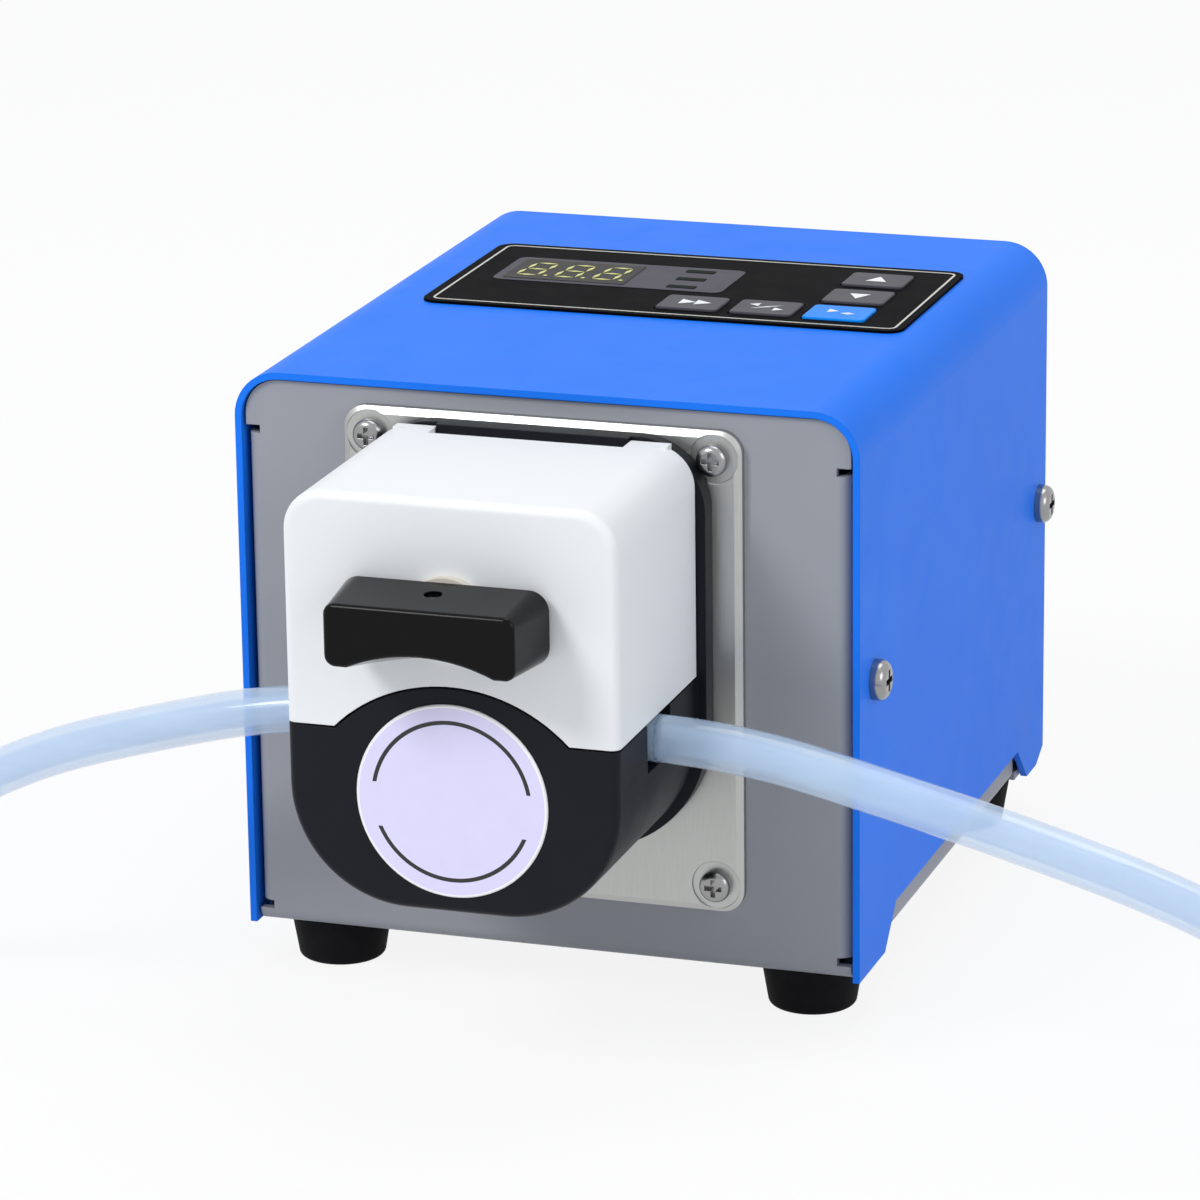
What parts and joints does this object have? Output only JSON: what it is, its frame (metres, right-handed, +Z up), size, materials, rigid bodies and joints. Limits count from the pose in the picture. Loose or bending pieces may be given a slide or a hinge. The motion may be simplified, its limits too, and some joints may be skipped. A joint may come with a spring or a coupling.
{
  "type": "benchtop peristaltic pump",
  "caption": "Benchtop peristaltic pump: a roller head with a lifting jaw and turn knob squeezes a soft tube, on a small drive unit with display and keys.",
  "frame": {"origin": "on the standing surface, under the middle of the unit's bounding box without its hoses", "axes": "+Z up, -Y out of the front of the pump head, +X to the right seen from the front"},
  "size_m": [0.386, 0.1922, 0.1089],
  "materials": {
    "blue_paint": "satin powder coat",
    "silver_paint": "fine satin",
    "plate_steel": "satin",
    "screw_steel": "polished",
    "black_rubber": "matte",
    "panel_grey": "printed film",
    "key_grey": "smooth",
    "key_blue": "smooth",
    "black_plastic": "matte",
    "display_green": "smooth",
    "lamp_green": "smooth",
    "board_green": "lacquered",
    "brass": "turned",
    "cast_alloy": "cast",
    "black_steel": "satin",
    "ground_steel": "ground",
    "gloss_black": "polished",
    "connector_steel": "plated",
    "head_black": "fine satin",
    "jaw_white": "satin",
    "bush_beige": "turned",
    "rotor_alloy": "turned",
    "roller_steel": "ground",
    "label_lilac": "printed disc",
    "silicone": "translucent"
  },
  "bodies": {
    "frame": {"cover": "blue_paint", "chassis": "silver_paint", "adaptor_plate": "plate_steel", "cover_screws": "screw_steel", "foot_screws": "screw_steel", "adaptor_screws": "screw_steel", "head_screws": "screw_steel", "motor_screws": "screw_steel", "rubber_feet": "black_rubber", "panel_film": "panel_grey", "key_switches": "black_plastic", "display_module": "display_green", "indicator_lamps": "lamp_green", "control_board": "board_green", "board_standoffs": "brass", "motor_bells": "cast_alloy", "motor_stack": "black_steel", "power_board": "board_green", "board_pillars": "brass", "power_parts": "black_plastic", "power_inlet": "black_plastic", "switch_frame": "black_plastic", "control_port": "connector_steel", "head_base": "head_black", "jaw_guide_pins": "ground_steel", "follower_pin": "ground_steel", "front_bearing": "ground_steel", "rear_bearing": "ground_steel", "label_disc": "label_lilac", "tube_in_head": "silicone", "hose_left": "silicone", "hose_right": "silicone"},
    "jaw": {"upper_jaw": "jaw_white", "jaw_bed": "bush_beige", "shaft_bush": "bush_beige"},
    "knob": {"knob": "gloss_black", "knob_shaft": "ground_steel", "cam_disc": "bush_beige", "cam_cross_pin": "ground_steel", "knob_set_screw": "black_steel"},
    "rotor": {"rotor_shaft": "ground_steel", "rotor_front_cheek": "rotor_alloy", "rotor_rear_cheek": "rotor_alloy", "rotor_hub": "rotor_alloy", "roller_axles": "ground_steel", "motor_shaft": "ground_steel"},
    "rocker": {"rocker": "gloss_black"},
    "roller_1": {"roller_1": "roller_steel"},
    "roller_2": {"roller_2": "roller_steel"},
    "roller_3": {"roller_3": "roller_steel"},
    "roller_4": {"roller_4": "roller_steel"},
    "key_up": {"key_up": "key_grey"},
    "key_down": {"key_down": "key_grey"},
    "key_run": {"key_run": "key_blue"},
    "key_direction": {"key_direction": "key_grey"},
    "key_prime": {"key_prime": "key_grey"}
  },
  "joints": [
    {"name": "knob_turn", "type": "hinge", "parent": "jaw", "child": "knob", "pos_m": [0, -0.0817, 0.0826], "axis": [0, 1, 0], "range_deg": [0, 180]},
    {"name": "jaw_lift", "type": "slide", "parent": "frame", "child": "jaw", "axis": [0, 0, 1], "range_m": [0, 0.009]},
    {"name": "rotor_spin", "type": "hinge", "parent": "frame", "child": "rotor", "pos_m": [0, -0.0607, 0.0516], "axis": [0, 1, 0], "continuous": true},
    {"name": "roller_1_spin", "type": "hinge", "parent": "rotor", "child": "roller_1", "pos_m": [0.0122, -0.0607, 0.0516], "axis": [0, 1, 0], "continuous": true},
    {"name": "roller_2_spin", "type": "hinge", "parent": "rotor", "child": "roller_2", "pos_m": [0, -0.0607, 0.0638], "axis": [0, 1, 0], "continuous": true},
    {"name": "roller_3_spin", "type": "hinge", "parent": "rotor", "child": "roller_3", "pos_m": [-0.0122, -0.0607, 0.0516], "axis": [0, 1, 0], "continuous": true},
    {"name": "roller_4_spin", "type": "hinge", "parent": "rotor", "child": "roller_4", "pos_m": [0, -0.0607, 0.0394], "axis": [0, 1, 0], "continuous": true},
    {"name": "key_up_press", "type": "slide", "parent": "frame", "child": "key_up", "axis": [0, 0, -1], "range_m": [0, 0.0003], "stiffness_N_per_m": 800},
    {"name": "key_down_press", "type": "slide", "parent": "frame", "child": "key_down", "axis": [0, 0, -1], "range_m": [0, 0.0003], "stiffness_N_per_m": 800},
    {"name": "key_run_press", "type": "slide", "parent": "frame", "child": "key_run", "axis": [0, 0, -1], "range_m": [0, 0.0003], "stiffness_N_per_m": 800},
    {"name": "key_direction_press", "type": "slide", "parent": "frame", "child": "key_direction", "axis": [0, 0, -1], "range_m": [0, 0.0003], "stiffness_N_per_m": 800},
    {"name": "key_prime_press", "type": "slide", "parent": "frame", "child": "key_prime", "axis": [0, 0, -1], "range_m": [0, 0.0003], "stiffness_N_per_m": 800},
    {"name": "rocker_tilt", "type": "hinge", "parent": "frame", "child": "rocker", "pos_m": [0, 0.0883, 0.039], "axis": [1, 0, 0], "range_deg": [0, 14]}
  ],
  "couplings": [
    {"joint": "knob_turn", "follows": "jaw_lift", "rad_per_m": 349.06}
  ]
}
